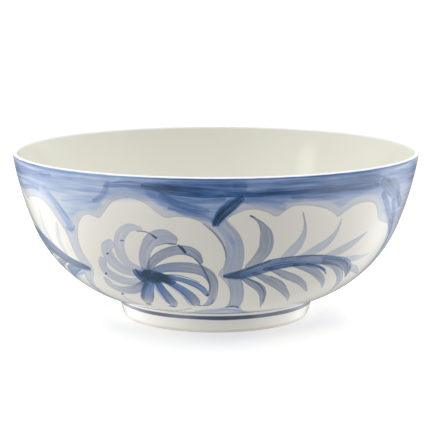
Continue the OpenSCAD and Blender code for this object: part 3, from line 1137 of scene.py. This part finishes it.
# %% [markdown]
# ## Cobalt
# Cobalt soaks up red most, green less and blue least, so a thin wash is pale grey-blue
# and a heavy dab is nearly black. The shader adds up how much cobalt all the layers leave
# at a place, then lets each colour of light through by the exponential law of dyes. More
# than a full load changes little, and thin paint looks greyer than thick paint.

# %% Cobalt colour
MOST_COBALT = 4.5


def cobalt_over(finish, amount, diluted, ground):
    """The ground as it looks through so much cobalt, part of which is a greyer thin wash."""
    amount = (1.0 - (amount * (-1.0 / MOST_COBALT)).exp()) * MOST_COBALT
    red = (-amount).exp()
    green = (-(amount * 0.69 + diluted * 0.15)).exp()
    blue = (-(amount * (0.08 + amount * 0.1) + diluted * 0.3)).exp()
    tint = finish.node("ShaderNodeCombineColor", inputs={"Red": red, "Green": green, "Blue": blue})
    return finish.mix(1.0, ground, tint, "MULTIPLY")


# %% [markdown]
# A mark's edge is where its inside distance, worked out from the three stored numbers,
# crosses nought. A crisp mark goes from bare to full in half a millimetre and dries with
# a darker rim. A soft one takes more than two millimetres, broken up by its streaks.

# %% One layer of brush marks
EDGES = {CRISP: (-0.15, 0.35), SOFT: (-1.1, 1.3)}


def brush_layer(finish, number, kind):
    """How much cobalt one layer of marks leaves, and how much of it is a thin, grey wash."""
    strength = finish.attribute(f"strength_{number}")
    along, off, square = finish.parts(finish.attribute(f"marks_{number}", "Vector"))
    half = square.at_least(0.01).root()
    inside = (square - off * off) / (half + off.size())
    wobble = finish.noise(finish.vector(along * 0.25, off * 0.25, 3.0 + number), 1.0, 2.0)
    inside = inside + (wobble - 0.5) * 0.5
    streaks = finish.noise(finish.vector(along * 0.035, off * 0.95, 9.0 + number), 1.0, 3.0, 0.6)
    if kind == SOFT:
        inside = inside + (streaks - 0.5) * 2.5
        load = 0.35 + streaks.ramp(0.32, 0.7) * 1.2
        return inside.ramp(*EDGES[kind]) * strength * load, None
    rim = inside.ramp(0.1, 1.1, 1.0, 0.0)
    load = 1.05 + streaks.ramp(0.3, 0.72) * 0.95 + rim * 0.35
    amount = inside.ramp(*EDGES[kind]) * strength * load
    return amount, amount * strength.ramp(0.2, 0.6, 0.5, 1.0) * strength.ramp(0.6, 1.3, 1.0, 0.0)


def streaks_round(finish):
    """Bristle streaks that run level round the bowl."""
    scales = {"Vector": finish.object_place(), "Scale": (26.0, 26.0, 420.0)}
    flat_place = finish.node("ShaderNodeMapping", inputs=scales)
    return finish.noise(flat_place, 1.0, 3.0, 0.55).ramp(0.3, 0.72)


# %% [markdown]
# The wash between the panels lies in three parts: a pale, grey contour that follows the
# panels' edges, a bluer ground above them, and the band, whose lower edge wanders.

# %% Washes on the wall
wall_finish = Finish("painted_glaze")
wash_run, wash_out, height_up = wall_finish.parts(wall_finish.attribute("wash", "Vector"))
wall_place = wall_finish.object_place()
band_load = wall_finish.attribute("band_load")
ragged = (wall_finish.noise(wall_place, 160.0, 2.0) - 0.5) * 0.7
wash_body = (wash_out + ragged).ramp(-0.1, 0.45)
wash_streaks = wall_finish.noise(
    wall_finish.vector(wash_run * 0.03, wash_out * 0.55, 1.0), 1.0, 3.0, 0.6
).ramp(0.3, 0.7)
wash_edge = wash_out.ramp(0.2, 1.3, 1.0, 0.0)
contour = wash_body * (0.34 + wash_streaks * 0.14 + wash_edge * 0.18)
level_streaks = streaks_round(wall_finish)
high = height_up.ramp(70.0, 88.0)
ground_wash = wash_out.ramp(3.5, 6.0) * high * (0.12 + level_streaks * 0.5) * (0.4 + band_load * 0.6)
wander = (wall_finish.noise(wall_place, 22.0, 2.0) - 0.5) * 7.0
in_band = (height_up + wander).ramp(106.5, 110.5)
band_wash = in_band * (0.22 + level_streaks * 0.85) * band_load
cobalt = contour + ground_wash + band_wash
diluted = contour * wash_out.ramp(2.5, 6.0, 0.85, 0.0)
print("washes take", len(wall_finish.tree.nodes), "nodes")

# %% [markdown]
# The layers of marks add to the washes. A cloudy noise then thins and thickens all the
# paint a little, as pigment does when it settles, and the sum becomes one colour.

# %% Paint the wall
for number, layer in enumerate(layers):
    amount, thin = brush_layer(wall_finish, number, layer["kind"])
    cobalt = cobalt + amount
    if thin:
        diluted = diluted + thin
cobalt = cobalt * wall_finish.noise(wall_place, 70.0, 3.0).ramp(0.25, 0.75, 0.9, 1.1)
wall_colour = cobalt_over(wall_finish, cobalt, diluted.at_most(1.5), glaze_ground(wall_finish))
glaze_over(wall_finish, painted_wall, wall_colour, 0.012)

# %% [markdown]
# ## Plain glaze inside
# The lining is a shade warmer and greener than the outside, since light bounces round in
# the hollow. At the lip the glaze runs thin, and the lip is painted a brighter, cooler white
# as a painted highlight along its round edge. The band's cobalt stops at the lip's outer edge.

# %% Glaze the lining
lining_finish = Finish("plain_glaze")
lining_ground = glaze_ground(lining_finish, (0.80, 0.80, 0.725, 1.0), (0.79, 0.775, 0.69, 1.0))
lining_x, lining_y, lining_height = lining_finish.parts(lining_finish.object_place())
# Painted highlight: the lip's top is painted a brighter, cooler white than the lining.
lip_highlight = lining_height.ramp((bowl_h - 2.2) * MM, (bowl_h - 0.8) * MM)
lining_colour = lining_finish.mix(lip_highlight, lining_ground, (0.90, 0.91, 0.92, 1.0))
lip_out = (lining_x * lining_x + lining_y * lining_y).root() / MM - float(lip_centre[0])
lip_ragged = (lining_finish.noise(lining_finish.object_place(), 130.0, 2.0) - 0.5) * 0.2
lip_paint = (lip_out + lip_ragged).ramp(1.2, 1.45) * lining_height.ramp(0.09, 0.1)
lip_load = 2.0 + streaks_round(lining_finish) * 1.6
lip_cobalt = lip_paint * lip_load * lining_finish.attribute("band_load")
lining_colour = cobalt_over(lining_finish, lip_cobalt, 0.0, lining_colour)
glaze_over(lining_finish, lining, lining_colour, 0.015)

# %% [markdown]
# ## The foot's line
# One line of cobalt was drawn round the top of the foot while the bowl turned. It is even
# but not perfect: it swells a little and its edges are soft where the glaze moved.

# %% Glaze the foot
LINE_Z = 10.2
LINE_HALF = 1.35
foot_finish = Finish("foot_line_glaze")
foot_place = foot_finish.object_place()
foot_height = foot_finish.parts(foot_place)[2] / MM
drift = (foot_finish.noise(foot_place, 18.0, 2.0) - 0.5) * 0.8
line_gap = (foot_height - LINE_Z + drift).size()
line_half = LINE_HALF + (foot_finish.noise(foot_place, 26.0, 2.0) - 0.5) * 0.7
line_body = (line_half - line_gap).ramp(-0.15, 0.45)
line_load = foot_finish.noise(foot_place, 60.0, 3.0).ramp(0.3, 0.7, 2.0, 3.0)
line_cobalt = line_body * line_load
# Painted light: the foot's glaze is painted a brighter white than the wall's, in place of the light that
# falls on the foot.
foot_white_painted_lit = glaze_ground(foot_finish, (0.92, 0.905, 0.84, 1.0), (0.90, 0.88, 0.80, 1.0))
foot_colour = cobalt_over(foot_finish, line_cobalt, line_cobalt * 1.1, foot_white_painted_lit)
glaze_over(foot_finish, foot_coat, foot_colour, 0.012)

# %% [markdown]
# The recess under the base has the same clear glaze as the wall, with no paint under it.

# %% Glaze the recess
recess_finish = Finish("recess_glaze")
glaze_over(recess_finish, recess_coat, glaze_ground(recess_finish), 0.015)

# %% [markdown]
# ## Bare porcelain
# Where no glaze is, fired porcelain is smooth but matt, with a fine grain and a warm grey
# tone, darker where the standing edge has been rubbed on tables. The body under the glaze
# is the same stuff, and it keeps its CAD mesh because nothing of its shape is missing.


# %% Finish the bare parts
def bare_porcelain(name, piece):
    finish = Finish(name)
    place = finish.object_place()
    grain = finish.noise(place, 900.0, 3.0)
    clouds = finish.noise(place, 40.0, 3.0).ramp(0.3, 0.7)
    colour = finish.mix(clouds, (0.80, 0.775, 0.71, 1.0), (0.74, 0.70, 0.62, 1.0))
    rubbed = finish.parts(place)[2].ramp(0.0, 1.2 * MM, 1.0, 0.0)
    colour = finish.mix(rubbed * 0.4, colour, (0.50, 0.46, 0.40, 1.0))
    finish.cover(piece, colour, grain.ramp(0.3, 0.7, 0.5, 0.7), grain, 0.02, IOR=1.45)


bare_porcelain("bare_porcelain", standing_ring)
bare_porcelain("porcelain_under_glaze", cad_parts["bowl_body"])

# %% [markdown]
# ## Tying the pieces to the frame
# Nothing moves on a bowl, so every coat rides on its one body. Each takes the place of the
# plainer CAD coat of the same outline.

# %% Tie the pieces to the frame
settle(painted_wall, "painted_glaze", "outside_glaze")
settle(lining, "plain_glaze", "inside_glaze")
settle(foot_coat, "foot_line_glaze", "foot_glaze")
settle(recess_coat, "plain_glaze", "base_glaze")
settle(standing_ring, "bare_porcelain", "foot_ring")

# %% [markdown]
# ## Two strips for the painting
# A finished model carries its colours as a picture wrapped on the mesh. The wall is a long
# strip, so it is cut at the front and at the back and laid as two strips, one above the
# other, which gives the brush marks the most room. The hidden face gets a sliver at the top.

# %% Lay out the wall's map
wall_map = wall_mesh.uv_layers.new(name="OFBake")
corner_count = len(wall_mesh.loops)
corner_points = np.empty(corner_count, np.int32)
wall_mesh.loops.foreach_get("vertex_index", corner_points)
face_sizes = np.empty(len(wall_mesh.polygons), np.int32)
wall_mesh.polygons.foreach_get("loop_total", face_sizes)
corner_faces = np.repeat(np.arange(len(face_sizes)), face_sizes)
round_turn = (turns[corner_points] + np.pi) % (2 * np.pi)
low_turn = np.full(len(face_sizes), math.tau)
np.minimum.at(low_turn, corner_faces, round_turn)
high_turn = np.zeros(len(face_sizes))
np.maximum.at(high_turn, corner_faces, round_turn)
wraps = (high_turn - low_turn > np.pi)[corner_faces]
round_turn = np.where(wraps & (round_turn < np.pi), round_turn + 2 * np.pi, round_turn)
first_half = (np.bincount(corner_faces, round_turn) / face_sizes < np.pi)[corner_faces]
depth = np.where(
    on_belly,
    np.hypot(radii - belly_centre[0], wall_points[:, 2] - belly_centre[1]) - BELLY_R,
    np.hypot(radii - shoulder_centre[0], wall_points[:, 2] - shoulder_centre[1]) - SHOULDER_R,
)
sunk = (depth < -GLAZE_T / 2)[corner_points]
hidden = (np.bincount(corner_faces, sunk) > 0)[corner_faces]
rise = np.clip(ups[corner_points] / wall_length, 0, 1)
across = (round_turn - np.where(first_half, 0.0, np.pi)) / np.pi
strip = np.where(first_half, 0.0, 1.0)
map_v = np.where(hidden, 0.955 + 0.022 * strip + 0.018 * rise, 0.475 * strip + 0.465 * rise + 0.003)
map_u = 0.003 + 0.994 * np.clip(across, 0, 1)
wall_map.uv.foreach_set("vector", np.stack([map_u, map_v], -1).astype(np.float32).ravel())
print("wall map:", int(hidden.sum()), "hidden corners of", corner_count)

# %% [markdown]
# ## Table and light
# The bowl stands on a plain white table inside a white tent, which is how glossy china is
# lit: the glaze mirrors only the pale cloth, so it shows no hard spots of light. The table
# glows a little, as a light table does, and its light on the bowl is part of the tent's.

# %% Table
TABLE_HALF = 14.0
table_mesh = bpy.data.meshes.new("table")
table_shape = bmesh.new()
bmesh.ops.create_grid(table_shape, x_segments=8, y_segments=8, size=TABLE_HALF)
table_shape.to_mesh(table_mesh)
table_shape.free()
table = bpy.data.objects.new("table", table_mesh)
bpy.context.scene.collection.objects.link(table)
table_finish = Finish("table_white")
table_cloud = table_finish.noise(table_finish.object_place(), 3.0, 2.0).ramp(0.3, 0.7)
table_colour = table_finish.mix(table_cloud, (0.96, 0.96, 0.955, 1.0), (0.94, 0.94, 0.935, 1.0))
glowing = {"Emission Color": (1.0, 1.0, 1.0, 1.0), "Emission Strength": 0.3}
table_finish.cover(table, table_colour, 0.7, **glowing)
table.visible_diffuse = False
table.visible_glossy = False
table.visible_shadow = False

# %% [markdown]
# The tent glows on all sides. Its one dark place is the opening at the front, where the
# camera looks in, so the front of the bowl is a little darker than its sides. A lamp
# behind the cloth on the left leaves one soft gleam in the hollow. Light from below comes
# off the table's far parts; straight down, the bowl's own foot keeps it away.

# %% Light of the tent
world = bpy.data.worlds.new("tent")
room = Net(world)
look_x, look_y, look_z = room.parts(room.node("ShaderNodeTexCoord", output="Generated"))


def towards(x, y, z):
    """How nearly a look goes in a direction: 1 right at it and 0 square to it."""
    return look_x * x + look_y * y + look_z * z


opening = towards(0.17, -0.97, -0.17).ramp(0.42, 0.95)
lamp = towards(-0.83, -0.44, 0.34).ramp(0.988, 0.9995)
ceiling = look_z.ramp(0.5, 0.95)
below = look_z.ramp(-0.2, 0.02, 1.0, 0.0)
straight_down = (-look_z).ramp(0.35, 0.85)
low_behind = look_y.ramp(0.5, 0.95) * below
glow = 1.29 + ceiling * 0.76 + lamp * 2.2 + below * 1.95
shade = (1.0 - opening * 0.95) * (1.0 - straight_down * 0.8) * (1.0 - low_behind * 0.88)
room_light = room.node("ShaderNodeBackground", inputs={"Strength": glow * shade})
room.node("ShaderNodeOutputWorld", inputs={"Surface": room_light})
bpy.context.scene.world = world
bpy.context.scene.view_settings.view_transform = "Standard"
print("the tent's light has", len(room.tree.nodes), "nodes")
